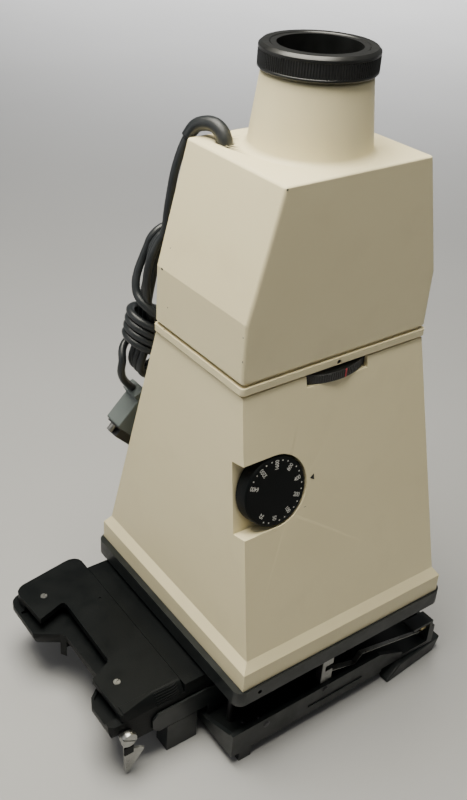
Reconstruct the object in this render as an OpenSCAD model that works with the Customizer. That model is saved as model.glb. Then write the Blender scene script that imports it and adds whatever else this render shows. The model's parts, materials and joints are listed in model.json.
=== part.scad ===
// Large-format film camera for the photo tube of a microscope.
// It stands on its film back, with the tube cone up. X runs along the film holder's
// travel, Z is the optical axis. The dial and the front wheel slot face -Y.

/* [Hood] */
// Height of the hood's lower edge above the table
stand_h = 65; // [64:1:66]
// Width of the hood skirt along X
skirt_w = 160; // [156:1:164]
// Depth of the hood skirt along Y
skirt_d = 162; // [160:1:164]
// Height of the upright band of the skirt
skirt_h = 13; // [10:1:15]
// Height of the hood with its skirt
hood_h = 177; // [174:1:180]
// Width of the hood's top along X
hood_top_w = 132; // [130:1:133]
// Depth of the hood's top along Y
hood_top_d = 84.4; // [84:0.2:85]
// Wall thickness of the cast covers
wall = 3; // [2.5:0.5:3.5]

/* [Upper housing] */
// Width of the upper housing along X
upper_w = 134; // [132:1:136]
// Height of the upper housing
upper_h = 105; // [100:1:110]
// Height of its upright side walls
upper_straight_h = 35; // [25:1:45]
// Width of its top panel along X
upper_top_w = 99; // [92:1:104]
// Height of the flange between hood and upper housing
flange_h = 8; // [7:0.5:9]

/* [Tube cone and clamp ring] */
// Height of the cone above the top panel
cone_h = 40; // [36:1:44]
// Outer radius of the cone above its fillet
cone_base_r = 33.2; // [32:0.2:34]
// Outer radius of the cone under the clamp ring
cone_top_r = 29; // [28.5:0.5:30]
// Radius of the knurled clamp ring
ring_r = 31; // [30.5:0.5:32]
// Height of the clamp ring
ring_h = 13; // [12:1:15]
// Radius of the bore that takes the microscope's photo tube
tube_bore_r = 22; // [21:0.5:22.5]

/* [Film speed dial] */
// Radius of the dial
dial_r = 21.1; // [20:0.1:21.5]
// Depth of the pocket that holds the dial
pocket_depth = 10.5; // [10:0.5:12]
// Height of the dial's axis above the table
dial_z = 182; // [175:1:190]
// Distance of the dial's axis from the optical axis, along -X
dial_off = 47.6; // [45:0.2:50]

/* [Lock ring] */
// Outer radius of the ring that locks the upper housing to the hood
lock_r = 45.6; // [45:0.1:46]
// Width of the finger slot
lock_slot_w = 45.2; // [44:0.2:50]

/* [Film back] */
// Width of the film plate along X
plate_w = 168.5; // [166:0.5:172]
// Depth of the film plate along Y
plate_d = 165; // [164:1:168]
// Thickness of the film plate
plate_h = 11; // [10:0.5:12]
// Distance of the film's centre from the optical axis along Y
gate_y = 12; // [10:0.5:12]
// Length of the film gate along X
gate_w = 122; // [116:1:124]
// Width of the film gate along Y
gate_d = 98; // [92:1:100]
// Reach of the back frame along -X
frame_left = 83.5; // [82:0.5:84]
// Reach of the back frame along +X
frame_right = 89.5; // [88:0.5:91]
// Height of the back frame's rim above the table
frame_top = 26.5; // [26:0.5:27]

/* [Film holder] */
// Width of the flat blade of the film holder
blade_w = 120.4; // [119:0.2:121]
// Thickness of the blade
blade_h = 11.5; // [11:0.5:11.5]
// Reach of the blade along +X
blade_end = 75; // [66:1:80]
// Reach of the roller end along -X
holder_reach = 153.5; // [150:0.5:156]
// Radius of each processing roller
roller_r = 4; // [3.8:0.1:4]

/* [Cable] */
// Diameter of the cable
cable_d = 5; // [4.6:0.1:5.2]

/* [Hidden] */
$fn = 64;

cream = [0.85, 0.82, 0.72];
black = [0.09, 0.09, 0.10];
grey = [0.34, 0.35, 0.36];
steel = [0.75, 0.75, 0.76];
brass = [0.78, 0.66, 0.38];
glass = [0.65, 0.78, 0.85, 0.5];
clear = 0.05;      // running clearance of shafts and rings, on the radius
gap = 0.3;         // clearance between parts that slide past each other

// Reach of the release lever along +X, and the optical axis in the part's frame
lever_reach = 99.1;
axis_x = (holder_reach - lever_reach) / 2;

// Levels above the table
plate_z = stand_h - plate_h;
hood_top_z = stand_h + hood_h;
upper_z = hood_top_z + flange_h;
panel_z = upper_z + upper_h;
ring_z = panel_z + cone_h;
top_z = ring_z + ring_h;
blade_top_z = plate_z - 3;
blade_z = blade_top_z - blade_h;

// Hood faces
skirt_bevel_h = 6;
skirt_bevel_in = 4;
bevel_z = stand_h + skirt_h + skirt_bevel_h;
slope_x = ((skirt_w - hood_top_w) / 2 - skirt_bevel_in) / (hood_top_z - bevel_z);
slope_y = ((skirt_d - hood_top_d) / 2 - skirt_bevel_in) / (hood_top_z - bevel_z);
deck_z = hood_top_z - 7;           // floor of the lock ring's compartment
deck_h = 3;
seam_h = 1.7;                      // dark seam between hood and flange
groove_h = 2;                      // groove between flange and upper housing
hood_screw_x = skirt_w / 2 - 3;
hood_screw_y = [-60, -20, 20, 60];

// Dial: centre of its face, and its tilt with the front face of the hood
front_y = -(hood_top_d / 2 + slope_y * (hood_top_z - dial_z));
dial_tilt = 90 - atan(slope_y);
pocket_r = dial_r + 1.1;
spindle_r = 3;

// Lens, shutter and metering in the upper housing
sleeve_r = tube_bore_r + 3;
sleeve_len = 34;
shutter_z = upper_z + 46;
shutter_h = 12;
shutter_w = 76;
blade_disc_r = 12;
blade_pivot = 24;
blade_thick = 0.8;
prism = 16;
prism_z = shutter_z + shutter_h + 3;

// Back frame and its guides
frame_front = -80;
frame_rear = 83;
floor_z = 11;
sheet = 3;
rivet_pos = [[-57.5, 21.5], [-10, 23.5]];
post_r = 2.5;
posts = [[-70, -60], [30, -60], [-70, 75.9], [80, 20]];
strip_y = [-75, 76.5];         // front and rear leaf springs
strip_w = 5;
rail_y = -50;
rail_top = blade_z - 0.6;
pivot_pos = [84, -70];

// Film holder
holder_bottom = 24.6;
lip_r = 17.4;
lip_z = holder_bottom + lip_r;
lip_top = 42.5;
cover_screw_pos = [[-135.8, 63.5], [-131.5, -24.5]];
cover_h = 4.3;
cover_z = blade_top_z - cover_h;
blade_front = gate_y - blade_w / 2;
blade_rear = gate_y + blade_w / 2;
roller_x = -118;
roller_low_z = 34.2;
roller_high_z = roller_low_z + 2 * roller_r + 0.2;
roller_y = [-36, 66];
lever_pos = [-139.5, -49, 33.5];

// Cable: it leaves the top panel, bends over the rear edge and hangs behind the housing
cable_r = cable_d / 2;
relief_route = [
    [-36.5, 25.5, 348], [-36.5, 25.5, 355], [-36.8, 28.4, 359.6], [-37.8, 33.2, 362.2],
    [-39.6, 39, 362], [-42.2, 44.8, 359.2], [-45.5, 47.8, 352.5]
];
upper_route = [
    [-45.5, 47.8, 352.5], [-49, 48.4, 344.5], [-52.5, 48.6, 333], [-55.3, 48.8, 316], [-57.2, 49.2, 300],
    [-59.5, 50.5, 289]
];
lower_route = [
    [-66, 70.5, 218], [-70.5, 69.3, 214.8], [-72.8, 68.7, 210.8], [-73.5, 69, 204], [-71.6, 70.5, 197.5],
    [-67.5, 72, 191], [-63, 73, 186]
];
hank_top = [-46, 45, 300];
hank_lean = 6;
hank_roll = 7.7;
hank_size = [32, 20, 104];
plug_pos = [-49, 73, 174];
plug_tilt = 45;
plug_len = 27;
plug_half = 14;

// Both sides of a profile from its right-hand half
function mirrored(half) = concat(half, [for (i = [len(half) - 1:-1:0]) [-half[i][0], half[i][1]]]);
// Points of an arc
function arc(c, r, from, to, steps = 8) =
    [for (i = [0:steps]) let (a = from + (to - from) * i / steps) c + r * [cos(a), sin(a)]];

function unit(v) = v / norm(v);
function tangent(path, i) =
    unit(path[min(i + 1, len(path) - 1)] - path[max(i - 1, 0)]);
function ring_points(c, dir, r, sides) =
    let (u = unit(cross(dir, [0, 1, 0.2])), v = cross(dir, u))
    [for (k = [0:sides - 1]) c + r * (cos(360 * k / sides) * u + sin(360 * k / sides) * v)];
// Points between those of a route, on a smooth curve through them
function curve_point(p0, p1, p2, p3, t) =
    0.5 * (2 * p1 + (p2 - p0) * t + (2 * p0 - 5 * p1 + 4 * p2 - p3) * t * t
    + (3 * p1 - p0 - 3 * p2 + p3) * t * t * t);
function smooth(route, steps) = concat(
    [for (i = [0:len(route) - 2], k = [0:steps - 1])
        curve_point(route[max(i - 1, 0)], route[i], route[i + 1],
            route[min(i + 2, len(route) - 1)], k / steps)],
    [route[len(route) - 1]]);

// A tube swept along a path; its radius runs from r1 to r2
module swept_tube(path, r1, r2, sides = 8) {
    n = len(path);
    points = [for (i = [0:n - 1])
        each ring_points(path[i], tangent(path, i), r1 + (r2 - r1) * i / (n - 1), sides)];
    walls = [for (i = [0:n - 2], k = [0:sides - 1])
        [i * sides + k, i * sides + (k + 1) % sides,
            (i + 1) * sides + (k + 1) % sides, (i + 1) * sides + k]];
    caps = [[for (k = [sides - 1:-1:0]) k], [for (k = [0:sides - 1]) (n - 1) * sides + k]];
    polyhedron(points, concat(walls, caps));
}

module on_axis() {
    translate([axis_x, 0, 0])
        children();
}

// Local Z is the front face's outward normal, at the dial's centre
module on_dial() {
    translate([-dial_off, front_y, dial_z])
        rotate([dial_tilt, 0, 0])
            children();
}

module rounded_square(w, d, r) {
    square([w - 2 * r, d], center = true);
    square([w, d - 2 * r], center = true);
    for (x = [-1, 1], y = [-1, 1])
        translate([x * (w / 2 - r), y * (d / 2 - r)])
            circle(r);
}

module rounded_plate(w, d, r, h) {
    linear_extrude(h)
        rounded_square(w, d, r);
}

// The solid that has one profile along X and the other along Y
module two_profiles(profile_x, profile_y) {
    intersection() {
        rotate([90, 0, 0])
            linear_extrude(400, center = true)
                polygon(mirrored(profile_x));
        rotate([90, 0, 90])
            linear_extrude(400, center = true)
                polygon(mirrored(profile_y));
    }
}

module cyl_y(r, h) {
    rotate([-90, 0, 0])
        cylinder(r = r, h = h);
}

module tube(r_out, r_in, h) {
    difference() {
        cylinder(r = r_out, h = h);
        translate([0, 0, -1])
            cylinder(r = r_in, h = h + 2);
    }
}

// ---- covers ----

module upper_housing() {
    color(cream) on_axis()
        difference() {
            union() {
                difference() {
                    two_profiles(
                        [[upper_w / 2, upper_z], [upper_w / 2, upper_z + upper_straight_h],
                            [upper_top_w / 2, panel_z]],
                        [[hood_top_d / 2, upper_z], [hood_top_d / 2, panel_z]]);
                    two_profiles(
                        [[upper_w / 2 - wall, upper_z - 1],
                            [upper_w / 2 - wall, upper_z + upper_straight_h - 1],
                            [upper_top_w / 2 - wall + 0.8, panel_z - wall]],
                        [[hood_top_d / 2 - wall, upper_z - 1],
                            [hood_top_d / 2 - wall, panel_z - wall]]);
                }
                translate([0, 0, panel_z])
                    rotate_extrude($fn = 128)
                        polygon(concat(
                            [[sleeve_r, -wall]],
                            [[cone_base_r + 4, -wall]],
                            arc([cone_base_r + 4, 4], 4, 270, 187),
                            [[cone_top_r, cone_h - 0.5], [sleeve_r + clear, cone_h - 0.5],
                                [sleeve_r + clear, cone_h - 10], [sleeve_r, 0]]));
            }
            translate([0, 0, panel_z - wall - 1])
                cylinder(r = sleeve_r, h = wall + 2);
            translate([relief_route[0][0], relief_route[0][1], panel_z - wall - 1])
                cylinder(r = 4.4, h = wall + 2);
        }
}

module joint_flange() {
    color(cream) on_axis()
        translate([0, 0, hood_top_z])
            difference() {
                union() {
                    rounded_plate(hood_top_w - 5, hood_top_d - 5, 3, seam_h);
                    translate([0, 0, seam_h])
                        rounded_plate(hood_top_w + 2.8, hood_top_d + 1.8, 2.5, flange_h - groove_h - seam_h);
                    translate([0, 0, flange_h - groove_h])
                        rounded_plate(hood_top_w - 3, hood_top_d - 3, 2.5, groove_h);
                }
                translate([0, 0, -1])
                    cylinder(r = 28, h = flange_h + 2);
                for (side = [-1, 1])
                    translate([0, side * (hood_top_d / 2 + 1.5), 3.2])
                        rotate([side * 90, 0, 0])
                            cylinder(r = 1.5, h = 5);
            }
}

module flange_screws() {
    color(black) on_axis()
        for (side = [-1, 1])
            translate([0, side * (hood_top_d / 2 + 0.2), hood_top_z + 3.2])
                rotate([side * 90, 0, 0])
                    difference() {
                        cylinder(r = 1.45, h = 3);
                        translate([0, 0, -1])
                            cylinder(r = 0.8, h = 2.2, $fn = 6);
                    }
}

module hood_outside() {
    two_profiles(
        [[skirt_w / 2, stand_h], [skirt_w / 2, stand_h + skirt_h],
            [skirt_w / 2 - skirt_bevel_in, bevel_z], [hood_top_w / 2, hood_top_z]],
        [[skirt_d / 2, stand_h], [skirt_d / 2, stand_h + skirt_h],
            [skirt_d / 2 - skirt_bevel_in, bevel_z], [hood_top_d / 2, hood_top_z]]);
}

module hood_inside() {
    top_x = hood_top_w / 2 + slope_x * (hood_top_z - deck_z) - wall;
    top_y = hood_top_d / 2 + slope_y * (hood_top_z - deck_z) - wall;
    drop = deck_z - stand_h + 1;
    two_profiles(
        [[top_x + slope_x * drop, deck_z - drop - deck_h], [top_x, deck_z - deck_h]],
        [[top_y + slope_y * drop, deck_z - drop - deck_h], [top_y, deck_z - deck_h]]);
}

module dial_pocket(grow, depth, out) {
    on_dial()
        translate([0, 0, -depth]) {
            cylinder(r = pocket_r + grow, h = depth + out, $fn = 96);
            translate([-60, -pocket_r - grow, 0])
                cube([60, 2 * (pocket_r + grow), depth + out]);
        }
}

module hood() {
    color(cream) on_axis()
        difference() {
            hood_outside();
            difference() {
                hood_inside();
                dial_pocket(2.5, pocket_depth + 2.5, 0);
            }
            dial_pocket(0, pocket_depth, 20);
            on_dial()
                translate([0, 0, -pocket_depth - 5])
                    cylinder(r = spindle_r + clear, h = 6);
            translate([0, 0, deck_z - deck_h - 1])
                cylinder(r = 30, h = 20);
            // compartment of the lock ring, with a collar that the ring turns on
            difference() {
                translate([0, 0, deck_z])
                    rounded_plate(hood_top_w - 7, hood_top_d - 4, 3, 20);
                translate([0, 0, deck_z])
                    cylinder(r = 34 - clear, h = 6);
            }
            translate([-lock_slot_w / 2, -100, deck_z + 0.3])
                cube([lock_slot_w, 200, 20]);
            for (x = [-1, 1], y = hood_screw_y)
                translate([x * hood_screw_x, y, stand_h - 1])
                    cylinder(r = 1.5, h = 7);
        }
    color(cream) on_axis()
        translate([0, 0, deck_z - deck_h])
            tube(34 - clear, 30, deck_h + 6);
}

module index_mark() {
    color(black) on_axis() on_dial()
        translate([pocket_r + 2.2, 0, 0])
            linear_extrude(0.15)
                polygon([[0, 0], [3, 1.9], [3, -1.9]]);
}

module light_baffle() {
    color(black) on_axis()
        translate([0, 0, 120])
            difference() {
                translate([-69, -64, 0])
                    cube([138, 128, 2]);
                translate([-50, -34, -1])
                    cube([100, 92, 4]);
            }
}

// ---- optics, shutter and electronics ----

module tube_sleeve() {
    color(black) on_axis()
        translate([0, 0, top_z - sleeve_len])
            difference() {
                cylinder(r = sleeve_r, h = sleeve_len - 0.4);
                translate([0, 0, -1])
                    cylinder(r = tube_bore_r, h = sleeve_len + 2);
            }
}

module lens_barrel() {
    color(black) on_axis()
        translate([0, 0, panel_z - 22])
            difference() {
                cylinder(r = 21, h = 40);
                translate([0, 0, -1])
                    cylinder(r = 14, h = 60);
                translate([0, 0, -1])
                    cylinder(r = 16, h = 7);
                translate([0, 0, 34])
                    cylinder(r = 18, h = 7);
            }
}

module lens_disc(r, edge, crown) {
    rotate_extrude()
        polygon([[0, 0], [r, 0], [r, edge], [r * 0.75, edge + crown * 0.55],
            [r * 0.5, edge + crown * 0.8], [r * 0.25, edge + crown * 0.95], [0, edge + crown]]);
}

module front_lens() {
    color(glass) on_axis()
        translate([0, 0, panel_z + 12])
            lens_disc(17.95, 3, 2.5);
}

module rear_lens() {
    color(glass) on_axis()
        translate([0, 0, panel_z - 17])
            mirror([0, 0, 1])
                lens_disc(15.95, 2.5, 2);
}

module lens_mount_plate() {
    color(black) on_axis()
        translate([0, 0, panel_z - wall - 3])
            difference() {
                translate([-42, -38, 0])
                    cube([84, 76, 3]);
                translate([0, 0, -1])
                    cylinder(r = 21, h = 5);
                translate([relief_route[0][0], relief_route[0][1], -1])
                    cylinder(r = 6, h = 5);
            }
}

module shutter_case() {
    color(black) on_axis()
        translate([0, 0, shutter_z])
            difference() {
                translate([-shutter_w / 2, -shutter_w / 2, 0])
                    cube([shutter_w, shutter_w, shutter_h]);
                translate([-shutter_w / 2 + 2, -shutter_w / 2 + 2, 2])
                    cube([shutter_w - 4, shutter_w - 4, shutter_h]);
                translate([0, 0, -1])
                    cylinder(r = 10, h = 10);
            }
    color(steel) on_axis()
        for (side = [-1, 1])
            translate([side * blade_pivot, 0, shutter_z + 2])
                cylinder(r = 1.5, h = shutter_h - 2);
}

module shutter_lid() {
    color(black) on_axis()
        translate([-shutter_w / 2, -shutter_w / 2, shutter_z + shutter_h])
            difference() {
                cube([shutter_w, shutter_w, 1.5]);
                translate([shutter_w / 2, shutter_w / 2, -1])
                    cylinder(r = 10, h = 5);
            }
}

module shutter_blade(side, level) {
    color(steel) on_axis()
        translate([side * blade_pivot, 0, shutter_z + level])
            difference() {
                union() {
                    cylinder(r = 4, h = blade_thick);
                    translate([-side * blade_pivot / 2 - blade_pivot / 2, -4, 0])
                        cube([blade_pivot, 8, blade_thick]);
                    translate([-side * blade_pivot, 0, 0])
                        cylinder(r = blade_disc_r, h = blade_thick);
                }
                translate([0, 0, -1])
                    cylinder(r = 1.5 + clear, h = 4);
            }
}

module shutter_blade_upper() {
    shutter_blade(1, 7);
}

module shutter_blade_lower() {
    shutter_blade(-1, 5);
}

module shutter_solenoid() {
    color(steel) on_axis()
        translate([44, -15, upper_z + 62])
            rotate([-90, 0, 0])
                cylinder(r = 6, h = 30);
}

module beam_splitter() {
    color(glass) on_axis()
        translate([-prism / 2, -prism / 2, prism_z])
            cube(prism);
}

module light_sensor() {
    color(black) on_axis()
        translate([prism / 2 + 0.3, 0, prism_z + prism / 2])
            rotate([0, 90, 0]) {
                cylinder(r = 6, h = 14);
                translate([0, 0, 14])
                    cylinder(r = 4, h = 5);
            }
}

module circuit_board() {
    color([0.12, 0.35, 0.22]) on_axis()
        translate([52, -30, upper_z + 4])
            cube([1.6, 60, 30]);
    color(black) on_axis()
        for (y = [-24, -4, 14], z = [8, 20])
            translate([53.6, y, upper_z + z])
                cube([3, 12, 8]);
}

module dial_encoder() {
    color(grey) on_axis() on_dial()
        translate([0, 0, -pocket_depth - 12.5])
            difference() {
                cylinder(r = 9, h = 10);
                translate([0, 0, 2])
                    cylinder(r = spindle_r + clear, h = 9);
            }
}

// ---- clamp ring, lock ring and dial ----

module clamp_ring() {
    color(black) on_axis()
        translate([0, 0, ring_z])
            difference() {
                rotate_extrude($fn = 128)
                    polygon([
                        [sleeve_r + clear, 0.2], [ring_r - 0.9, 0.2], [ring_r, 1.1],
                        [ring_r, 2], [ring_r - 0.35, 2.3], [ring_r - 0.35, ring_h - 3.3],
                        [ring_r, ring_h - 3], [ring_r, ring_h - 1.6], [ring_r - 1.6, ring_h],
                        [sleeve_r + 0.8, ring_h], [sleeve_r + clear, ring_h - 0.8]]);
                for (a = [0, 120, 240])
                    rotate([0, 0, a - 100])
                        translate([sleeve_r - 1, 0, 3.6])
                            rotate([0, 90, 0])
                                cylinder(r = 1.3, h = 10);
            }
}

module ring_screws() {
    color(black) on_axis()
        for (a = [0, 120, 240])
            rotate([0, 0, a - 100])
                translate([sleeve_r + 0.4, 0, ring_z + 3.6])
                    rotate([0, 90, 0])
                        difference() {
                            cylinder(r = 1.25, h = 4.4);
                            translate([0, 0, 3.2])
                                cylinder(r = 0.7, h = 2, $fn = 6);
                        }
}

module lock_ring() {
    color(black) on_axis()
        translate([0, 0, deck_z + 0.5])
            tube(lock_r, 34, 6);
}

module speed_dial() {
    color(black) on_axis() on_dial()
        translate([0, 0, -pocket_depth + 0.6])
            rotate_extrude($fn = 96)
                polygon([[0, 0], [dial_r - 0.6, 0], [dial_r, 0.6], [dial_r, pocket_depth - 1.7],
                    [dial_r - 0.9, pocket_depth - 0.9], [0, pocket_depth - 0.9]]);
}

module dial_spindle() {
    color(steel) on_axis() on_dial()
        translate([0, 0, -pocket_depth - 10])
            cylinder(r = spindle_r, h = 10.6);
}

// ---- film plate ----

module gate(w, d, h) {
    translate([-w / 2, gate_y - d / 2, 0])
        cube([w, d, h]);
}

module film_plate() {
    color(black) on_axis()
        translate([0, 0, plate_z])
            difference() {
                rounded_plate(plate_w, plate_d, 6, plate_h);
                translate([0, 0, -1])
                    gate(gate_w, gate_d, plate_h + 2);
                for (x = [-1, 1], y = hood_screw_y)
                    translate([x * hood_screw_x, y, -1])
                        cylinder(r = 1.5, h = plate_h + 2);
                translate([-68, -plate_d / 2 - 1, plate_h / 2])
                    cyl_y(1.5, 6);
            }
}

module plate_screws() {
    color(steel) on_axis()
        for (x = [-1, 1], y = hood_screw_y)
            translate([x * hood_screw_x, y, plate_z + 0.2])
                cylinder(r = 1.45, h = plate_h + 5);
}

module light_seal() {
    color(black) on_axis()
        translate([0, 0, blade_top_z + gap])
            difference() {
                gate(gate_w + 10, gate_d + 10, plate_z - blade_top_z - gap);
                translate([0, 0, -1])
                    gate(gate_w, gate_d, 6);
            }
}

module guide_posts() {
    color(steel) on_axis()
        for (p = posts)
            translate([p[0], p[1], 2.5]) {
                cylinder(r = post_r, h = plate_z - 2.5);
                cylinder(r = 3.7, h = 3);
            }
}

// Hooks under the plate that hold the leaf springs' left ends
module spring_hangers() {
    color(steel) on_axis()
        for (y = strip_y)
            translate([-12.3, y - 2.5, 27])
                difference() {
                    cube([9, 5, plate_z - 27]);
                    translate([3, -1, 9.5])
                        cube([7, 7, 4.5]);
                }
}

// Each leaf spring bears up against a bush on the back frame's lug
module spring_bushes() {
    color(brass) on_axis()
        for (y = strip_y)
            translate([79.5, y, 24.7])
                rotate([0, 90, 0]) {
                    cylinder(r = 2.4, h = 4.5);
                    translate([0, 0, 4.5])
                        cylinder(r = 1.45, h = 3.8);
                }
}

// ---- back frame, which drops away from the plate to free the film holder ----

module front_wall() {
    rotate([90, 0, 0])
        linear_extrude(sheet)
            polygon([[-frame_left, 8], [42, 8], [42, floor_z + 0.2], [60, floor_z + 0.2],
                [60, 17], [38, frame_top], [-frame_left, frame_top]]);
}

module left_wall() {
    rotate([90, 0, 90])
        linear_extrude(sheet)
            polygon([[frame_front, 8], [frame_rear, 8], [frame_rear, 22], [-20, 16],
                [-54, 16], [frame_front, frame_top]]);
}

module back_frame() {
    color(black) on_axis()
        difference() {
            union() {
                translate([-frame_left, frame_front, floor_z])
                    cube([frame_left + frame_right, frame_rear - frame_front, sheet]);
                translate([0, frame_front + sheet, 0])
                    front_wall();
                translate([-frame_left, 0, 0])
                    left_wall();
                translate([-frame_left, frame_rear - sheet, 8])
                    cube([frame_left + frame_right, sheet, frame_top - 8]);
                translate([frame_right - sheet, frame_front, floor_z])
                    cube([sheet, frame_rear - frame_front, frame_top - floor_z]);
                // strengthening bead on the front wall
                translate([-23, frame_front - 0.8, 14.3])
                    cube([46, 1.2, 1.2]);
                for (p = [[-72.5, -75.3], [-72.5, 66], [81.5, 66], [81.5, -38]])
                    translate([p[0] - 4.5, p[1] - 4.5, 0])
                        cube([9, 9, floor_z + 1]);
                // lugs that carry the bushes
                for (y = strip_y) {
                    translate([84.3, y - 5, floor_z])
                        cube([2.5, 10, 21.5]);
                    translate([68, y - 5, 30.5])
                        cube([18.8, 10, 2]);
                }
            }
            for (p = posts)
                translate([p[0], p[1], floor_z - 1])
                    cylinder(r = post_r + clear, h = sheet + 2);
            translate([pivot_pos[0], pivot_pos[1], floor_z - 1])
                cylinder(r = 2.5, h = sheet + 2);
            for (p = rivet_pos)
                translate([p[0], frame_front - 1, p[1]])
                    cyl_y(1.5, 5);
            for (y = strip_y)
                translate([84, y, 24.7])
                    rotate([0, 90, 0])
                        cylinder(r = 1.5, h = 5);
        }
}

module pressure_box() {
    top = blade_z - gap;
    color(black) on_axis()
        difference() {
            translate([-76, -44, floor_z + sheet])
                cube([140, 112, top - floor_z - sheet]);
            translate([-73, -41, floor_z + sheet - 1])
                cube([134, 106, top - floor_z - sheet - 1]);
        }
}

// Rail beside the holder, with a leg that carries its left end
module guide_rail() {
    color(black) on_axis() {
        translate([0, rail_y + 1.3, 0])
            rotate([90, 0, 0])
                linear_extrude(1.3)
                    polygon([[-116.6, 23], [-121.4, 27.4], [-121.4, 35], [-117.5, rail_top], [60, rail_top],
                        [60, floor_z + sheet], [-frame_left + sheet, floor_z + sheet],
                        [-frame_left + sheet, 23]]);
        translate([-110.5, rail_y + 0.4, 0])
            cube([22.5, 12, holder_bottom - gap]);
    }
}

module frame_rivets() {
    color(steel) on_axis()
        for (p = rivet_pos)
            translate([p[0], frame_front - 0.8, p[1]])
                rotate([-90, 0, 0]) {
                    cylinder(r1 = 1.6, r2 = 2.4, h = 0.8);
                    translate([0, 0, 0.8])
                        cylinder(r = 1.45, h = 3.6);
                }
}

// The strip is held in its hook, steps up at its kink and bears up against the bush
module leaf_spring(y) {
    line = [[-9.2, 37], [-8, 35.2], [18.4, 27], [23.5, 33], [76, 22.2], [83, 21.1]];
    color(steel) on_axis()
        translate([0, y + strip_w / 2 - 0.2, 0])
            rotate([90, 0, 0])
                linear_extrude(strip_w - 0.4)
                    polygon(concat(
                        [for (p = line) p + [0, 0.5]],
                        [for (i = [len(line) - 1:-1:0]) line[i] - [0, 0.5]]));
}

module leaf_spring_front() {
    leaf_spring(strip_y[0]);
}

module leaf_spring_rear() {
    leaf_spring(strip_y[1]);
}

module release_pivot() {
    color(steel) on_axis()
        translate([pivot_pos[0], pivot_pos[1], 1])
            cylinder(r = 2.45, h = floor_z + sheet - 1);
}

module release_lever() {
    color(black) on_axis()
        difference() {
            intersection() {
                translate([0, 0, 0.3])
                    linear_extrude(10.1)
                        polygon([[44.5, -84.7], [lever_reach, -79.6], [lever_reach, -62],
                            [62, -62], [44.5, -77]]);
                rotate([90, 0, 0])
                    linear_extrude(200, center = true)
                        polygon([[44.5, 0], [93.5, 0], [lever_reach, 10.4], [56.5, 10.4],
                            [44.5, 2]]);
            }
            translate([pivot_pos[0], pivot_pos[1], -1])
                cylinder(r = 2.5, h = 20);
        }
}

// ---- film holder ----

base_outline = [
    [-97, -48.4], [-97, 84.5], [-101, 87], [-108, 87.5], [-145, 82.2], [-148.6, 80.9],
    [-151.4, 78.6], [-153, 75.5], [-holder_reach, 71.5], [-holder_reach, 45], [-149, 41.5], [-139, 35], [-136.4, 31], [-135.6, -6],
    [-139, -14], [-147, -20.5], [-150, -27], [-150, -46], [-147.5, -48.4]
];
cover_outline = [
    [-98.2, -43.6], [-98.2, 80.4], [-99.1, 83], [-101.4, 85.1], [-104.6, 86.1], [-108, 86],
    [-142.8, 80.4], [-145.8, 79], [-148.2, 76.8], [-149.2, 73.4], [-147.2, 45.6], [-129.2, 51.6],
    [-127.2, 50.4], [-126.7, 47.6], [-127.3, -6], [-129, -8.4],
    [-142.8, -14.6], [-142, -47.4], [-141, -48], [-117, -42.8]
];

// Cutter that rounds the underside along an edge of the outline, from p in direction a
module underside_round(p, a, len) {
    translate([p[0], p[1], lip_z])
        rotate([0, 0, a])
            translate([0, -lip_r, 0])
                difference() {
                    translate([0, 0, -lip_r - 1])
                        cube([len, lip_r + 0.01, lip_r + 1]);
                    translate([-1, 0, 0])
                        rotate([0, 90, 0])
                            cylinder(r = lip_r, h = len + 2);
                }
}

// Low rim along the outer edge of the lower shell
module lip_rim() {
    linear_extrude(lip_top)
        difference() {
            polygon(base_outline);
            offset(delta = -1.8)
                polygon(base_outline);
        }
}

module holder_base() {
    color(black) on_axis()
        difference() {
            union() {
                translate([-98, blade_front, blade_z])
                    cube([blade_end + 98, blade_w, blade_h]);
                translate([0, 0, holder_bottom])
                    linear_extrude(cover_z - holder_bottom - 2.2)
                        polygon(base_outline);
                translate([0, 0, cover_z - 3])
                    linear_extrude(3)
                        polygon(cover_outline);
            }
            // rounded underside of the outer wall: rear lug, recess, front lug and the lugs' inner sides
            underside_round([-holder_reach, 38], 90, 62);
            underside_round([-136.4, -17], 90, 55);
            underside_round([-150, -60], 90, 43);
            underside_round([-136.4, 33.3], 147, 20.6);
            underside_round([-148.5, -21.7], 39.5, 14.5);
            underside_round([-141, -48.4], 180, 10);
            // the slot for the film packet lies over the lip, with a post for each cover screw
            difference() {
                translate([-170, gate_y - 54, lip_top - 2])
                    cube([58, 108, cover_z - lip_top + 2.01]);
                for (p = cover_screw_pos)
                    translate([p[0], p[1], 0])
                        cylinder(r = 4, h = 60);
                lip_rim();
            }
            difference() {
                translate([-170, -43, lip_top])
                    cube([46, 140, 10]);
                linear_extrude(60)
                    polygon(cover_outline);
            }
            // film window and the space of the film packet
            translate([-88, gate_y - 52, blade_z + 2])
                cube([88 + 66, 104, blade_h - 4]);
            translate([0, 0, blade_z + 2])
                gate(gate_w - 6, gate_d - 4, blade_h);
            // roller bay and the passage to the blade
            translate([roller_x - 6, roller_y[0] - 1, roller_low_z - roller_r - 0.4])
                cube([12, roller_y[1] - roller_y[0] + 2, 40]);
            translate([-114, gate_y - 50, 37])
                cube([15, 100, 8]);
            translate([-100, gate_y - 50, blade_z + 2])
                cube([14, 100, 3.5]);
            for (z = [roller_low_z, roller_high_z])
                translate([roller_x, roller_y[0] - 5, z])
                    cyl_y(1.5 + clear, roller_y[1] - roller_y[0] + 10);
            translate([lever_pos[0], -55, lever_pos[2]])
                cyl_y(1.5, 20);
            for (p = cover_screw_pos)
                translate([p[0], p[1], cover_z - 8])
                    cylinder(r = 1.5, h = 12);
        }
}

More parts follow.
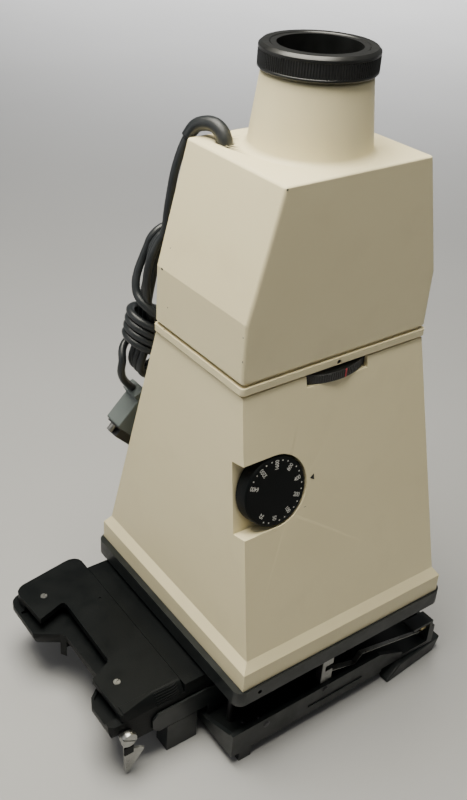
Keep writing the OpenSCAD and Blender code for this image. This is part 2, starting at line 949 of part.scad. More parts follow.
module holder_cover() {
    color(black) on_axis()
        difference() {
            translate([0, 0, cover_z])
                linear_extrude(cover_h)
                    polygon(cover_outline);
            for (p = cover_screw_pos)
                translate([p[0], p[1], cover_z - 1]) {
                    cylinder(r = 1.5, h = 12);
                    translate([0, 0, cover_h])
                        cylinder(r = 2.3, h = 3);
                }
            translate([-105.5, 42, blade_top_z - 0.6])
                cylinder(r = 1, h = 2);
        }
}

module cover_screws() {
    color(steel) on_axis()
        for (p = cover_screw_pos)
            translate([p[0], p[1], cover_z - 6]) {
                cylinder(r = 1.45, h = cover_h + 5);
                translate([0, 0, cover_h + 5])
                    difference() {
                        cylinder(r = 2.2, h = 1.1);
                        rotate([0, 0, 35])
                            translate([-4, -0.35, 0.6])
                                cube([8, 0.7, 2]);
                    }
            }
}

module pressure_plate() {
    color(steel) on_axis()
        translate([0, 0, blade_z + 3.5])
            gate(114, 94, 1.5);
}

module lever_screw() {
    color(steel) on_axis()
        translate(lever_pos)
            rotate([90, 0, 0])
                difference() {
                    union() {
                        translate([0, 0, -10])
                            cylinder(r = 1.45, h = 13);
                        translate([0, 0, 2.9])
                            cylinder(r1 = 5.3, r2 = 4.9, h = 1.6);
                    }
                    rotate([0, 0, -33])
                        translate([-8, -0.45, 3.7])
                            cube([16, 0.9, 3]);
                }
}

module process_lever() {
    color(steel) on_axis()
        translate(lever_pos)
            rotate([90, 0, 0])
                difference() {
                    union() {
                        cylinder(r = 4.6, h = 2.6);
                        linear_extrude(2.4)
                            polygon([[-2.4, 0], [2.4, 0], [2.2, -29], [0, -31], [-1.6, -30]]);
                        // finger flange
                        rotate([0, -25, 0])
                            translate([1.2, 0, 0])
                                linear_extrude(1.6)
                                    polygon([[0, -10], [9.5, -10.5], [8.6, -13], [0.6, -30.2],
                                        [0, -30.2]]);
                    }
                    translate([0, 0, -1])
                        cylinder(r = 1.5, h = 6);
                }
}

module lever_collar() {
    color(black) on_axis()
        translate(lever_pos)
            translate([-3.2, -3.6, -13.2])
                cube([6.4, 1.2, 6.4]);
}

module roller(z) {
    color(steel) on_axis()
        translate([roller_x, 0, z]) {
            translate([0, roller_y[0], 0])
                cyl_y(roller_r, roller_y[1] - roller_y[0]);
            translate([0, roller_y[0] - 4, 0])
                cyl_y(1.5, roller_y[1] - roller_y[0] + 8);
        }
}

module roller_upper() {
    roller(roller_high_z);
}

module roller_lower() {
    roller(roller_low_z);
}

// ---- cable and its connector ----

module strain_relief() {
    color(black) on_axis()
        swept_tube(smooth(relief_route, 2), 4.3, 3.2, 12);
}

module cord_upper() {
    color(black) on_axis()
        swept_tube(smooth(upper_route, 2), cable_r, cable_r);
}

module cord_lower() {
    color(black) on_axis()
        swept_tube(smooth(lower_route, 2), cable_r, cable_r);
}

module cord_hank() {
    r = hank_size[0] / 2;
    color(black) on_axis()
        translate(hank_top)
            rotate([0, hank_roll, 0])
                rotate([90 + hank_lean, 0, 0])
                    translate([0, 0, -hank_size[1]])
                        linear_extrude(hank_size[1]) {
                            translate([-r, r - hank_size[2]])
                                square([hank_size[0], hank_size[2] - 2 * r]);
                            for (z = [r - hank_size[2], -r])
                                translate([0, z])
                                    circle(r);
                        }
}

// Local -Z runs from the cable into the connector
module on_plug() {
    translate(plug_pos)
        rotate([0, plug_tilt, 0])
            children();
}

module connector_hood() {
    color(grey) on_axis() on_plug()
        translate([0, 7.5, 0])
            rotate([90, 0, 0])
                linear_extrude(15)
                    polygon([[plug_half - 1, -plug_len], [plug_half, 1 - plug_len], [plug_half, -4],
                        [plug_half - 3.5, 0], [-6.8, 0], [-16.3, 2.9], [-18.7, -5.1], [-plug_half, -6.5],
                        [-plug_half, 1 - plug_len], [1 - plug_half, -plug_len]]);
}

module connector_shell() {
    color(steel) on_axis() on_plug() {
        translate([1 - plug_half, -5.5, -plug_len - 0.8])
            cube([2 * plug_half - 2, 11, 0.8]);
        translate([0, 0, -plug_len - 6.5])
            linear_extrude(5.7)
                difference() {
                    polygon([[-8.6, 4.2], [8.6, 4.2], [7.4, -4.2], [-7.4, -4.2]]);
                    polygon([[-7.8, 3.5], [7.8, 3.5], [6.7, -3.5], [-6.7, -3.5]]);
                }
    }
}

module connector_screws() {
    color(steel) on_axis() on_plug()
        for (side = [-1, 1])
            translate([side * (plug_half - 2.9), 0, -plug_len - 5.5])
                difference() {
                    cylinder(r = 2.2, h = 4.7);
                    translate([-3, -0.35, -1])
                        cube([6, 0.7, 1.8]);
                }
}

upper_housing();
joint_flange();
flange_screws();
hood();
index_mark();
light_baffle();
tube_sleeve();
lens_barrel();
front_lens();
rear_lens();
lens_mount_plate();
shutter_case();
shutter_lid();
shutter_solenoid();
beam_splitter();
light_sensor();
circuit_board();
dial_encoder();
film_plate();
plate_screws();
light_seal();
guide_posts();
spring_hangers();
spring_bushes();
clamp_ring();
ring_screws();
lock_ring();
speed_dial();
dial_spindle();
shutter_blade_upper();
shutter_blade_lower();
back_frame();
pressure_box();
guide_rail();
frame_rivets();
leaf_spring_front();
leaf_spring_rear();
release_pivot();
release_lever();
holder_base();
holder_cover();
cover_screws();
pressure_plate();
lever_screw();
process_lever();
lever_collar();
roller_upper();
roller_lower();
strain_relief();
cord_upper();
cord_hank();
cord_lower();
connector_hood();
connector_shell();
connector_screws();
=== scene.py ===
import json
import math
import bpy
from mathutils import Euler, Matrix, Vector


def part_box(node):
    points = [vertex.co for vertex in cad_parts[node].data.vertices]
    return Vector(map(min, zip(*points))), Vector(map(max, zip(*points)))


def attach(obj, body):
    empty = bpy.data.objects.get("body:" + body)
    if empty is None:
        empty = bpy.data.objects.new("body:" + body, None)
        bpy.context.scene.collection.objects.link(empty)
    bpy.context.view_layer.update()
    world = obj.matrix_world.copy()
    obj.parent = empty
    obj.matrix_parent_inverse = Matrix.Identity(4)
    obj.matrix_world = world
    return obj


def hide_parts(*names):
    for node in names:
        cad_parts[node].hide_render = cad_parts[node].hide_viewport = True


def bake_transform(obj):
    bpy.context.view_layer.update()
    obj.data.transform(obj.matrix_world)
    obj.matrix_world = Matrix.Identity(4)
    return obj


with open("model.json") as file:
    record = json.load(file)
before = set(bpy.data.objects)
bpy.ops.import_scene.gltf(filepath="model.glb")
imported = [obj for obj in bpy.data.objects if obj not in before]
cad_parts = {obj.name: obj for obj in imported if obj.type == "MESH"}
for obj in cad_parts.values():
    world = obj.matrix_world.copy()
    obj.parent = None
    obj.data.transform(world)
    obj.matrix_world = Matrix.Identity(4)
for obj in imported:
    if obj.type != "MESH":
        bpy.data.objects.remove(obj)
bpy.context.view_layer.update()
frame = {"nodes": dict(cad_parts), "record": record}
NODES = frame["nodes"]
SCENE = bpy.context.scene

# Coordinates given to P() are in mm, with x and y from the optical axis and z from the table.
# P() turns them into metres in the frame of the CAD.
RING_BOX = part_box("clamp_ring")
AXIS_X = (RING_BOX[0].x + RING_BOX[1].x) / 2


def P(x, y, z):
    return Vector((AXIS_X + x / 1000, y / 1000, z / 1000))


# ---- camera ----

camera = bpy.data.objects.new("camera", bpy.data.cameras.new("camera"))
SCENE.collection.objects.link(camera)
camera.location = P(-337.9, -376.1, 516.8)
camera.rotation_euler = Euler([math.radians(a) for a in (58.6464, -2.5014, -34.5221)], "XYZ")
camera.data.lens = 43.96
camera.data.sensor_width = 36
camera.data.shift_x = 0.0431
camera.data.shift_y = -0.0310
camera.data.clip_end = 30
SCENE.camera = camera


# ---- materials ----

class Shader:
    """A node material, built from object coordinates so that its grain has a real size."""

    def __init__(self, name):
        self.mat = bpy.data.materials.new(name)
        self.mat.use_nodes = True
        self.tree = self.mat.node_tree
        self.bsdf = self.tree.nodes["Principled BSDF"]
        self.coords = self.tree.nodes.new("ShaderNodeTexCoord").outputs["Object"]

    def node(self, kind, **inputs):
        n = self.tree.nodes.new(kind)
        for key, value in inputs.items():
            if isinstance(value, bpy.types.NodeSocket):
                self.tree.links.new(value, n.inputs[key])
            else:
                n.inputs[key].default_value = value
        return n

    def noise(self, scale, detail=3.0, stretch=None):
        at = self.coords
        if stretch:
            m = self.node("ShaderNodeMapping", Vector=self.coords, Scale=stretch)
            at = m.outputs[0]
        return self.node("ShaderNodeTexNoise", Vector=at, Scale=scale, Detail=detail).outputs["Fac"]

    def spread(self, fac, a, b, low=0.3, high=0.7):
        n = self.tree.nodes.new("ShaderNodeMapRange")
        self.tree.links.new(fac, n.inputs["Value"])
        for key, v in (("From Min", low), ("From Max", high), ("To Min", a), ("To Max", b)):
            n.inputs[key].default_value = v
        return n.outputs["Result"]

    def mix(self, fac, a, b):
        n = self.tree.nodes.new("ShaderNodeMix")
        n.data_type = "RGBA"
        self.tree.links.new(fac, n.inputs[0])
        for i, v in ((6, a), (7, b)):
            if isinstance(v, bpy.types.NodeSocket):
                self.tree.links.new(v, n.inputs[i])
            else:
                n.inputs[i].default_value = (*v, 1)
        return n.outputs[2]

    def set(self, key, value):
        if isinstance(value, bpy.types.NodeSocket):
            self.tree.links.new(value, self.bsdf.inputs[key])
        else:
            self.bsdf.inputs[key].default_value = value

    def bump(self, height, strength, depth):
        n = self.node("ShaderNodeBump", Strength=strength, Distance=depth, Height=height)
        self.set("Normal", n.outputs[0])


def surface(name, dark, light, rough, metal=0.0, patch=18, grain=900, bump=0.15, depth=0.0002,
            stretch=None):
    """Two near tones in soft patches, an uneven sheen and a fine grain."""
    s = Shader(name)
    s.set("Base Color", s.mix(s.spread(s.noise(patch), 0, 1), dark, light))
    s.set("Roughness", s.spread(s.noise(patch * 4, 5, stretch), *rough))
    s.set("Metallic", metal)
    s.bump(s.noise(grain, 2, stretch), bump, depth)
    return s


def enamel():
    s = Shader("cream_enamel")
    tone = s.mix(s.spread(s.noise(9, 4), 0, 1), (0.75, 0.665, 0.415), (0.80, 0.715, 0.455))
    # faint handling marks, and painted shade where two parts meet, darkened by ambient occlusion
    smudge = s.spread(s.noise(38, 6), 0, 0.22, 0.56, 0.78)
    tone = s.mix(smudge, tone, (0.62, 0.54, 0.34))
    painted_crease_shade = s.node("ShaderNodeAmbientOcclusion", Distance=0.004)
    painted_crease_shade.samples = 6
    # painted shade: the cream turns dark brown where the occlusion is high
    tone = s.mix(s.spread(painted_crease_shade.outputs["AO"], 0.55, 0, 0.25, 0.75), tone, (0.26, 0.22, 0.14))
    # rare dark specks
    cell = s.node("ShaderNodeTexVoronoi", Vector=s.coords, Scale=34.0)
    speck = s.spread(cell.outputs["Distance"], 1, 0, 0.012, 0.020)
    rare = s.spread(s.noise(27, 1), 0, 1, 0.60, 0.61)
    both = s.node("ShaderNodeMath")
    both.operation = "MULTIPLY"
    s.tree.links.new(speck, both.inputs[0])
    s.tree.links.new(rare, both.inputs[1])
    s.set("Base Color", s.mix(both.outputs[0], tone, (0.10, 0.085, 0.07)))
    s.set("Roughness", s.spread(s.noise(70, 4), 0.40, 0.54))
    s.set("Specular IOR Level", 0.45)
    s.bump(s.noise(1500, 2), 0.10, 0.0001)
    return s


def glass():
    s = surface("coated_glass", (0.55, 0.72, 0.80), (0.62, 0.74, 0.84), (0.02, 0.06),
                patch=30, bump=0.01)
    s.set("Transmission Weight", 0.9)
    s.set("Coat Weight", 0.6)
    s.set("Coat Tint", (0.55, 0.75, 1.0, 1))
    return s


def worn_black():
    s = surface("black_enamel", (0.009, 0.011, 0.0115), (0.014, 0.017, 0.0175), (0.30, 0.48),
                patch=26, grain=1300, bump=0.12)
    s.set("Specular IOR Level", 0.40)
    return s


def grained_plastic():
    s = surface("grained_plastic", (0.0025, 0.0034, 0.0038), (0.0050, 0.0062, 0.0066), (0.38, 0.54),
                patch=22, grain=1700, bump=0.35, depth=0.00025)
    s.set("Specular IOR Level", 0.12)
    return s


MATERIALS = {
    "cream_paint": enamel(),
    "black_paint": worn_black(),
    "black_anodised": surface("black_anodised", (0.005, 0.0055, 0.0055), (0.009, 0.0095, 0.009),
                              (0.28, 0.40), patch=40, grain=1600, bump=0.08),
    "black_plastic": grained_plastic(),
    "matt_black": surface("matt_black", (0.008, 0.008, 0.008), (0.013, 0.013, 0.013),
                          (0.75, 0.9), patch=40, grain=1200),
    "steel": surface("dulled_steel", (0.27, 0.27, 0.26), (0.40, 0.40, 0.38), (0.26, 0.44),
                     metal=1.0, patch=90, grain=500, bump=0.12, depth=0.0001,
                     stretch=(1, 1, 14)),
    "dark_steel": surface("blackened_steel", (0.05, 0.05, 0.052), (0.09, 0.09, 0.095), (0.32, 0.5),
                          metal=0.9, patch=80, grain=900),
    "brass": surface("dull_brass", (0.50, 0.39, 0.18), (0.66, 0.54, 0.29), (0.26, 0.42),
                     metal=1.0, patch=120, grain=700, stretch=(14, 1, 1)),
    "glass": glass(),
    "board": surface("circuit_board", (0.02, 0.10, 0.05), (0.03, 0.16, 0.08), (0.3, 0.5),
                     patch=60),
    "foam": surface("velvet_seal", (0.008, 0.008, 0.008), (0.016, 0.016, 0.016), (0.9, 1.0),
                    grain=2500, bump=0.6, depth=0.0005),
    "cable_rubber": surface("cable_sheath", (0.010, 0.012, 0.014), (0.016, 0.019, 0.021),
                            (0.34, 0.48), patch=45, grain=1500, bump=0.10),
    "grey_plastic": surface("grey_moulding", (0.085, 0.102, 0.100), (0.115, 0.134, 0.130),
                            (0.42, 0.6), patch=35, grain=1400, bump=0.3),
}
WHITE_INK = surface("white_ink", (0.50, 0.50, 0.47), (0.68, 0.68, 0.64), (0.5, 0.7),
                    patch=300, grain=2500)
RED_INK = surface("red_ink", (0.50, 0.03, 0.05), (0.62, 0.06, 0.08), (0.4, 0.6),
                  patch=300, grain=2500)
CHIP = surface("bare_chip", (0.03, 0.027, 0.024), (0.10, 0.09, 0.075), (0.5, 0.8),
               patch=900, grain=2500)


def paint(node, slot):
    for held in NODES[node].material_slots:
        held.material = MATERIALS[slot].mat


for part in frame["record"]["subparts"]:
    paint(part["node"], part["material_slot"])
paint("connector_shell", "dark_steel")


# ---- mesh helpers ----

def piece(name, points, faces, body, slot=None, material=None, smooth=True):
    """A mesh of points from P(), which rides on a CAD body unless body is None."""
    mesh = bpy.data.meshes.new(name)
    mesh.from_pydata([tuple(p) for p in points], [], faces)
    mesh.update()
    for f in mesh.polygons:
        f.use_smooth = smooth
    o = bpy.data.objects.new(name, mesh)
    SCENE.collection.objects.link(o)
    mesh.materials.append((material or MATERIALS[slot]).mat)
    if body:
        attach(o, body)
    return o


def soften(o, width, segments=3, angle=35):
    """Rounds an object's edges by width in mm, where its faces meet at more than angle."""
    weld = o.modifiers.new("weld", "WELD")
    weld.merge_threshold = 0.00001
    bevel = o.modifiers.new("bevel", "BEVEL")
    bevel.width = width / 1000
    bevel.segments = segments
    bevel.limit_method = "ANGLE"
    bevel.angle_limit = math.radians(angle)
    bevel.harden_normals = True


def smooth_line(route, step=2.0):
    """Points about step mm apart on a smooth curve through the route."""
    r = [Vector(p) for p in route]
    out = []
    for i in range(len(r) - 1):
        p0, p1, p2, p3 = r[max(i - 1, 0)], r[i], r[i + 1], r[min(i + 2, len(r) - 1)]
        n = max(2, round((p2 - p1).length / step))
        for k in range(n):
            t = k / n
            out.append(0.5 * (2 * p1 + (p2 - p0) * t + (2 * p0 - 5 * p1 + 4 * p2 - p3) * t * t
                              + (3 * p1 - p0 - 3 * p2 + p3) * t ** 3))
    return out + [r[-1]]


def bands(rings, n, first=0):
    """Quads between neighbouring rings of n points, the first of them at index first."""
    return [(first + j * n + i, first + j * n + (i + 1) % n,
             first + (j + 1) * n + (i + 1) % n, first + (j + 1) * n + i)
            for j in range(rings - 1) for i in range(n)]


def closed(rings, n):
    """The same quads with a face over each end."""
    last = (rings - 1) * n
    return bands(rings, n) + [tuple(range(n))[::-1], tuple(range(last, last + n))]


def sweep(points, radii, sides):
    """Points and faces of a closed tube along points."""
    n, rings, normal = len(points), [], Vector((0, 0.3, 1))
    for i in range(n):
        along = (points[min(i + 1, n - 1)] - points[max(i - 1, 0)]).normalized()
        normal = (normal - along * normal.dot(along)).normalized()
        other = along.cross(normal)
        for k in range(sides):
            a = 2 * math.pi * k / sides
            rings.append(points[i] + radii[i] * (math.cos(a) * normal + math.sin(a) * other))
    return rings, closed(n, sides)


# ---- cable ----

CABLE_RADIUS = 0.0025
# Up through the top panel and over its rear edge, down to the hank, and from the hank to the plug
RELIEF = [(-36.5, 25.5, 348), (-36.5, 25.5, 355), (-36.8, 28.4, 359.6), (-37.8, 33.2, 362.2),
          (-39.6, 39, 362), (-42.2, 44.8, 359.2), (-45.5, 47.8, 352.5)]
UPPER = [(-49, 48.4, 344.5), (-52.5, 48.6, 333), (-55.3, 48.8, 316), (-57.2, 49.2, 300)]
LOWER = [(-72.8, 68.7, 210.8), (-73.5, 69, 204), (-71.6, 70.5, 197.5), (-67.5, 72, 191),
         (-63, 73, 186)]
HANK_TOP = Vector((-46, 45, 300))
HANK_LEAN, HANK_ROLL = math.radians(6), math.radians(7.7)
HANK_ACROSS = Vector((math.cos(HANK_ROLL), 0, -math.sin(HANK_ROLL)))
HANK_DOWN = Vector((-math.cos(HANK_LEAN) * math.sin(HANK_ROLL), math.sin(HANK_LEAN),
                    -math.cos(HANK_LEAN) * math.cos(HANK_ROLL)))
HANK_BACK = Vector((math.sin(HANK_LEAN) * math.sin(HANK_ROLL), math.cos(HANK_LEAN),
                    math.sin(HANK_LEAN) * math.cos(HANK_ROLL)))
# Lengths in mm. WAIST is how far down the turns hold the loops
LOOPS, FIRST_LOOP_BACK, LOOP_PITCH, WAIST = 3, 3.5, 5, 68
# The turns go down by TURN_PITCH each, and lie lower by TURN_TILT on their right
TURNS, TURN_STEPS, TURN_TOP, TURN_PITCH, TURN_TILT = 4.72, 14, 58.5, 5.1, 4.6
TURN_CENTRE_X, TURN_CENTRE_BACK, TURN_HALF_WIDE, TURN_HALF_DEEP = -1.2, 10, 15.5, 13.5
# The first turn starts higher up, by an amount that dies out over a few steps
TURN_START_RISE, TURN_START_STEPS = 9, 3


def in_hank(x, s, t):
    """x across, s down from the top and t back from the front of the hank's solid."""
    return HANK_TOP + HANK_ACROSS * x + HANK_DOWN * s + HANK_BACK * t


def fold(x, s, half, t, rise, way):
    """Half a circle about (x, s), from the left round the bottom (way 1) or from the right over
    the top (way -1), which goes back by rise on the way."""
    steps = 8
    arc = [math.pi * k / steps for k in range(steps + 1)]
    return [in_hank(x - way * half * math.cos(a), s + way * half * math.sin(a),
                    t + rise * a / math.pi) for a in arc]


def hank_route():
    """Three long loops, held by turns round their waist that start steeply and end at the back."""
    route = [in_hank(-12.8, 8.4, 5.5), in_hank(-15.7, 16, 5), in_hank(-16.6, 25, 4.6),
             in_hank(-16, 35, 4.2), in_hank(-13, 46, 3.8)]
    for loop in range(LOOPS):
        t = FIRST_LOOP_BACK + LOOP_PITCH * loop
        route += [in_hank(-8.6, 57, t), in_hank(-6, WAIST, t), in_hank(-7, 79, t)]
        route += fold(2.5, 90, 11, t, 2.4, 1)
        route += [in_hank(9.5, 79, t + 2.5), in_hank(6.5, WAIST, t + 2.5),
                  in_hank(8.6, 56, t + 2.7), in_hank(14, 38, t + 3)]
        route += fold(3, 18, 13.2, t + 3, 2, -1)
        if loop < LOOPS - 1:
            route += [in_hank(-9.6, 33, t + 5), in_hank(-9.3, 46, t + 5)]
    route += [in_hank(-12, 25, 18.2), in_hank(-14.8, 33, 16.6), in_hank(-16.6, 39.5, 13.8)]
    for k in range(round(TURNS * TURN_STEPS) + 1):
        a = math.pi + 2 * math.pi * k / TURN_STEPS
        drop = (TURN_TOP + TURN_PITCH * k / TURN_STEPS
                - TURN_START_RISE * math.exp(-k / TURN_START_STEPS) + TURN_TILT * math.cos(a))
        route.append(in_hank(TURN_CENTRE_X + TURN_HALF_WIDE * math.cos(a), drop,
                             TURN_CENTRE_BACK + TURN_HALF_DEEP * math.sin(a)))
    return route + [in_hank(-5.5, 84.6, 23.2), in_hank(-10.5, 86.3, 21),
                    in_hank(-13.6, 89.6, 17.6)]


def cable():
    """The whole cable as one curve, and the boot it leaves the top panel through."""
    line = smooth_line(RELIEF + UPPER + hank_route() + LOWER)
    data = bpy.data.curves.new("cable", "CURVE")
    data.dimensions = "3D"
    data.bevel_depth = CABLE_RADIUS
    data.bevel_resolution = 4
    data.use_fill_caps = True
    spline = data.splines.new("POLY")
    spline.points.add(len(line) - 1)
    for held, p in zip(spline.points, line):
        held.co = (*P(*p), 1)
    spline.use_smooth = True
    data.materials.append(MATERIALS["cable_rubber"].mat)
    o = bpy.data.objects.new("cable", data)
    SCENE.collection.objects.link(o)
    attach(o, "camera")
    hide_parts("cord_upper", "cord_hank", "cord_lower")
    boot_line = smooth_line(RELIEF, 1.2)
    last = len(boot_line) - 1
    foot, narrowing, curve, rim = 4.35, 0.65, 1.5, 0.0002
    radii = [(foot - narrowing * (i / last) ** curve) / 1000 for i in range(last + 1)]
    radii[-1] = CABLE_RADIUS + rim
    points, faces = sweep([P(*p) for p in boot_line], radii, 28)
    boot = piece("cable_boot", points, faces, "camera", "cable_rubber")
    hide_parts("strain_relief")


cable()


# ---- edges of the CAD parts ----

EDGE_WIDTHS = {
    "hood": 2.0, "upper_housing": 1.8, "joint_flange": 1.3, "film_plate": 1.0, "back_frame": 0.7,
    "guide_rail": 0.5, "pressure_box": 0.6, "release_lever": 1.2, "holder_cover": 1.3,
    "holder_base": 0.9, "spring_hangers": 0.4, "lever_screw": 0.25, "process_lever": 0.5,
    "lever_collar": 0.4, "speed_dial": 0.3, "connector_hood": 1.3, "connector_shell": 0.3,
    "cover_screws": 0.2, "clamp_ring": 0.3,
}
for name, width in EDGE_WIDTHS.items():
    soften(NODES[name], width)


# ---- knurling ----

def knurl(name, body, base_z, r_low, r_high, teeth, z0, z1):
    """Upright ridges round the optical axis, which sink into the ring at both ends."""
    fade, sink = 0.35, 0.25
    points = []
    levels = ((z0, False), (z0 + fade, True), (z1 - fade, True), (z1, False))
    n = 2 * teeth
    for z, proud in levels:
        for i in range(n):
            r = (r_high if i % 2 else r_low) if proud else r_low - sink
            a = math.pi * i / teeth
            points.append(P(r * math.cos(a), r * math.sin(a), base_z + z))
    piece(name, points, bands(len(levels), n), body, "black_anodised", smooth=False)


knurl("clamp_ring_knurl", "clamp_ring", base_z=395, r_low=30.6, r_high=31.0, teeth=134,
      z0=2.1, z1=9.9)
knurl("lock_ring_knurl", "lock_ring", base_z=235.5, r_low=45.55, r_high=45.9, teeth=190,
      z0=0.5, z1=5.5)


def ring_mark():
    """The index line on the lock ring, a thin block over its ridges."""
    radii, heights, angles = (45.7, 46.05), (235.9, 241.2), (-86.0, -84.9)
    points = []
    for r in radii:
        for z in heights:
            for a in angles:
                points.append(P(r * math.cos(math.radians(a)), r * math.sin(math.radians(a)), z))
    faces = [(0, 1, 3, 2), (4, 6, 7, 5), (0, 4, 5, 1), (2, 3, 7, 6), (0, 2, 6, 4), (1, 5, 7, 3)]
    piece("lock_ring_mark", points, faces, "lock_ring", material=RED_INK, smooth=False)


ring_mark()


# ---- film speed dial ----

DIAL = P(-47.6, -55.415, 182)
DIAL_OUT = Vector((0, -0.97659, 0.21510))
DIAL_UP = Vector((0, 0.21510, 0.97659))
# Angles in degrees, lengths in mm
FIRST_FIGURE, FIGURE_PITCH, DOT_ANGLES = -134, 36.1, (12, 24)
FIGURE_RING, FIGURE_SIZE, FIGURE_NARROWING = 15.9, 3.7, 0.82
DOT_RING, DOT_RADIUS, DOT_SIDES = 18.5, 0.46, 12
# Just proud of the dial's face, which lies 0.3 inside the hood's
INK_OUT = -0.26


def on_dial(x, y, out):
    """x across and y up in mm, and out from the hood's front face over the dial's centre."""
    return DIAL + (Vector((x, 0, 0)) + DIAL_UP * y + DIAL_OUT * out) / 1000


def dial_marks():
    """Film speeds round the dial with two dots between each pair."""
    speeds = (25, 50, 100, 200, 400, 800, 1600, 3200, 6400)
    points, faces = [], []
    for k, speed in enumerate(speeds):
        a = math.radians(FIRST_FIGURE + FIGURE_PITCH * k)
        text = bpy.data.curves.new("figures", "FONT")
        text.body = str(speed)
        text.size = FIGURE_SIZE
        text.align_x = "CENTER"
        text.align_y = "CENTER"
        text.offset = 0.04
        holder = bpy.data.objects.new("figures", text)
        mesh = bpy.data.meshes.new_from_object(holder)
        first = len(points)
        for v in mesh.vertices:
            along, across = FIGURE_RING + v.co.x * FIGURE_NARROWING, v.co.y
            points.append(on_dial(along * math.cos(a) - across * math.sin(a),
                                  along * math.sin(a) + across * math.cos(a), INK_OUT))
        faces += [tuple(first + i for i in f.vertices) for f in mesh.polygons]
        bpy.data.objects.remove(holder)
        bpy.data.meshes.remove(mesh)
        if k == len(speeds) - 1:
            continue
        for step in DOT_ANGLES:
            b = a + math.radians(step)
            first = len(points)
            for i in range(DOT_SIDES):
                c = 2 * math.pi * i / DOT_SIDES
                points.append(on_dial(DOT_RING * math.cos(b) + DOT_RADIUS * math.cos(c),
                                      DOT_RING * math.sin(b) + DOT_RADIUS * math.sin(c), INK_OUT))
            faces.append(tuple(range(first, first + DOT_SIDES)))
    piece("dial_figures", points, faces, "speed_dial", material=WHITE_INK, smooth=False)


dial_marks()


# ---- leaf springs, fixed strips in place of the CAD's ----

SPRING_ROOT_HALF, SPRING_TIP_HALF, SPRING_HALF_THICK = 2.3, 1.0, 0.3


def leaf_spring(name, y, node):
    """A narrowing strip: a short limb that dips, a step up, and a long limb out to the right."""
    line = smooth_line([(-9.2, y, 37), (-8, y, 35.2), (5, y, 31.1), (18.4, y, 27)], 3)
    line += smooth_line([(23.5, y, 33), (50, y, 27.6), (76, y, 22.2), (83, y, 21.1)], 4)
    points = []
    n = len(line)
    for i, p in enumerate(line):
        half = SPRING_ROOT_HALF - (SPRING_ROOT_HALF - SPRING_TIP_HALF) * i / (n - 1)
        for side, face in ((-1, -1), (1, -1), (1, 1), (-1, 1)):
            points.append(P(p.x, p.y + side * half, p.z + face * SPRING_HALF_THICK))
    o = piece(name, points, closed(n, 4), None, "steel", smooth=False)
    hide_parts(node)
    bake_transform(o)


leaf_spring("leaf_strip_front", -75, "leaf_spring_front")
leaf_spring("leaf_strip_rear", 76.5, "leaf_spring_rear")


# ---- film holder: the sloping front side with its finger ribs ----

SIDE_BASE_Y, SIDE_TOP, SIDE_FALL, SIDE_BOTTOM, SIDE_INNER_Y = -48.3, 51.6, 8.4, 40.6, -41.5
# The cover's edge turns at one corner, and falls away from it more steeply on its left
CORNER_X, CORNER_Y, LEFT_FALL, RIGHT_FALL = -117, -42.9, 0.21, 0.038
# FIRST_RIB and RIB_PITCH are fractions of the way down the slope, the others mm
RIB_COUNT, FIRST_RIB, RIB_PITCH, RIB_RADIUS, RIB_OUT = 6, 0.16, 0.145, 0.42, 0.1


def on_side(x, u, out=0.0):
    """A point on the sloping side, u from 0 under the cover's edge to 1 at the base, and out
    mm off it along (0, -0.8, 0.6)."""
    top_y = CORNER_Y - max(0, CORNER_X - x) * LEFT_FALL - max(0, x - CORNER_X) * RIGHT_FALL
    y = top_y + (SIDE_BASE_Y - top_y) * math.sin(u * math.pi / 2)
    return Vector((x, y - out * 0.8, SIDE_TOP - SIDE_FALL * u ** 1.15 + out * 0.6))


def holder_side():
    points = []
    stations = [-140.6, -134, -126, -119, -117, -115, -108, -98.6]
    steps = 9
    for x in stations:
        points += [P(*on_side(x, i / (steps - 1))) for i in range(steps)]
        points += [P(x, SIDE_BASE_Y, SIDE_BOTTOM), P(x, SIDE_INNER_Y, SIDE_BOTTOM),
                   P(x, SIDE_INNER_Y, SIDE_TOP)]
    faces = closed(len(stations), steps + 3)
    side = piece("holder_side", points, faces, "film_holder", "black_plastic")
    soften(side, 0.3, 2, 50)


def holder_ribs():
    points, faces = [], []
    for k in range(RIB_COUNT):
        u = FIRST_RIB + RIB_PITCH * k
        line = [on_side(x, u, RIB_OUT) for x in range(-118, -104, 2)]
        line += [on_side(-103.2, u - 0.04, RIB_OUT), on_side(-101.8, u - 0.13, RIB_OUT)]
        line = smooth_line(line, 1.0)
        rings, quads = sweep([P(*p) for p in line], [RIB_RADIUS / 1000] * len(line), 8)
        first = len(points)
        points += rings
        faces += [tuple(first + i for i in f) for f in quads]
    piece("holder_ribs", points, faces, "film_holder", "black_plastic")


holder_side()
holder_ribs()


# ---- screws on the tray's floor ----

def domed_screw(points, faces, centre, radius, height):
    """Adds a low dome to points and faces, with a tiny flat at its top."""
    first, sides, rows, flat = len(points), 20, 5, 0.05
    for j in range(rows):
        a = math.pi / 2 * j / (rows - 1)
        r = radius * math.cos(a) if j < rows - 1 else radius * flat
        for k in range(sides):
            b = 2 * math.pi * k / sides
            at = Vector((r * math.cos(b), r * math.sin(b), height * math.sin(a)))
            points.append(centre + at / 1000)
    faces += bands(rows, sides, first)
    faces.append(tuple(first + (rows - 1) * sides + k for k in range(sides)))


def tray_screws():
    points, faces = [], []
    for x, y in ((-64.7, -66.4), (-54, -69), (-61, -71.5)):
        domed_screw(points, faces, P(x, y, 14), radius=1.5, height=0.9)
    piece("tray_screws", points, faces, "film_back", "dark_steel")


tray_screws()


# ---- chipped enamel ----

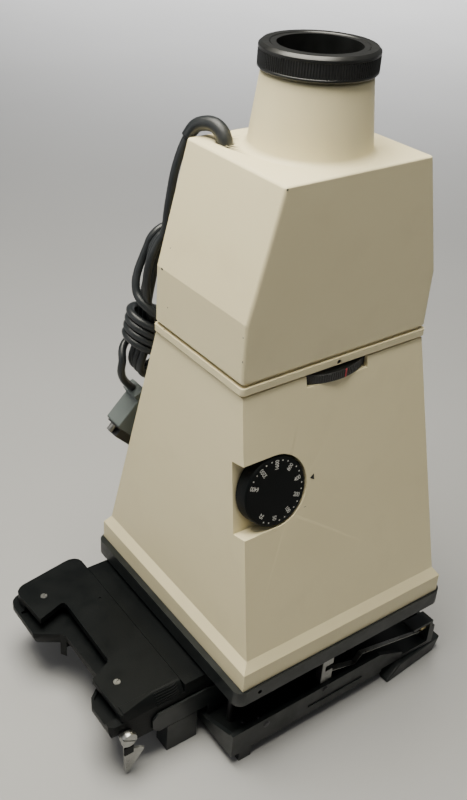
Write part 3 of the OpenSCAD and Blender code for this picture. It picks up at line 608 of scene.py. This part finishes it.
def chips():
    """Small bare patches, each an uneven outline just above the face with that normal."""
    left, front = Vector((-1, 0, 0)), Vector((0, -1, 0))
    slant = Vector((-0.9701, 0, 0.2425))
    marks = (((-67, 36, 284.6), left, 1.5, 0.9), ((-63.8, 33.1, 297.7), slant, 0.55, 0.4),
             ((-64.1, 2.1, 296.4), slant, 0.5, 0.4), ((-67, 29.3, 263.6), left, 0.6, 0.45),
             ((-67, -40, 277.7), left, 0.45, 0.6), ((-67, -41, 264), left, 0.5, 0.8),
             ((-48.9, -42.2, 353.6), front, 0.9, 0.8), ((-27.7, -59, 165.6), DIAL_OUT, 1.3, 0.2))
    sides, lift = 11, 0.04
    points, faces = [], []
    for m, (at, normal, wide, tall) in enumerate(marks):
        side = normal.cross(Vector((0, 0, 1))).normalized()
        up = side.cross(normal)
        first = len(points)
        for k in range(sides):
            a = 2 * math.pi * k / sides
            # a fixed wobble, different for each chip
            ragged = 0.78 + 0.22 * math.sin(3.1 * k + 1.7 * m)
            offset = (side * wide * math.cos(a) * ragged + up * tall * math.sin(a) * ragged
                      + normal * lift)
            points.append(P(*(Vector(at) + offset)))
        faces.append(tuple(range(first, first + sides)))
    piece("enamel_chips", points, faces, "camera", material=CHIP, smooth=False)


chips()


# ---- studio ----

FLOOR_HALF = 4
PANEL_Z, PANEL_SIZE = 2.0, 3.0


def floor():
    mesh = bpy.data.meshes.new("floor")
    corners = [(x * FLOOR_HALF, y * FLOOR_HALF, 0) for x, y in ((-1, -1), (1, -1), (1, 1), (-1, 1))]
    mesh.from_pydata(corners, [], [(0, 1, 2, 3)])
    o = bpy.data.objects.new("floor", mesh)
    SCENE.collection.objects.link(o)
    s = surface("pale_floor", (0.37, 0.37, 0.37), (0.39, 0.39, 0.39), (0.6, 0.7),
                patch=2, grain=60, bump=0.0)
    mesh.materials.append(s.mat)


def soft_box(name, location, target, size, power, colour=(1, 1, 1), spread=180, glossy=True):
    """A square area light, size in metres, that the camera does not see."""
    light = bpy.data.lights.new(name, "AREA")
    light.shape = "RECTANGLE"
    light.size = light.size_y = size
    light.energy = power
    light.color = colour
    light.spread = math.radians(spread)
    o = bpy.data.objects.new(name, light)
    SCENE.collection.objects.link(o)
    o.location = location
    o.rotation_euler = (Vector(target) - Vector(location)).to_track_quat("-Z", "Y").to_euler()
    o.visible_camera = False
    o.visible_glossy = glossy


floor()
soft_box("overhead", (-0.13, 0.05, 1.0), (0, 0, 0.2), size=0.6, power=19, colour=(1, 0.96, 0.84))
soft_box("left_fill", (-1.7, 0.5, 0.9), (0, 0, 0.2), size=1.2, power=5)
# Panels meant for the floor: narrow beams, well off to the sides, and not mirrored in the blacks
for k, (x, y, power, spread) in enumerate(((-2.6, 2.4, 110, 80), (2.2, 2.4, 130, 90),
                                           (-2.9, -2.9, 60, 50), (2.9, -2.9, 60, 50))):
    soft_box(f"floor_panel_{k}", (x, y, PANEL_Z), (x, y, 0), PANEL_SIZE, power,
             spread=spread, glossy=False)
world = bpy.data.worlds.new("studio")
SCENE.world = world
world.use_nodes = True
background = world.node_tree.nodes["Background"]
background.inputs["Color"].default_value = (1, 0.995, 0.98, 1)
background.inputs["Strength"].default_value = 0.16

bpy.context.view_layer.update()
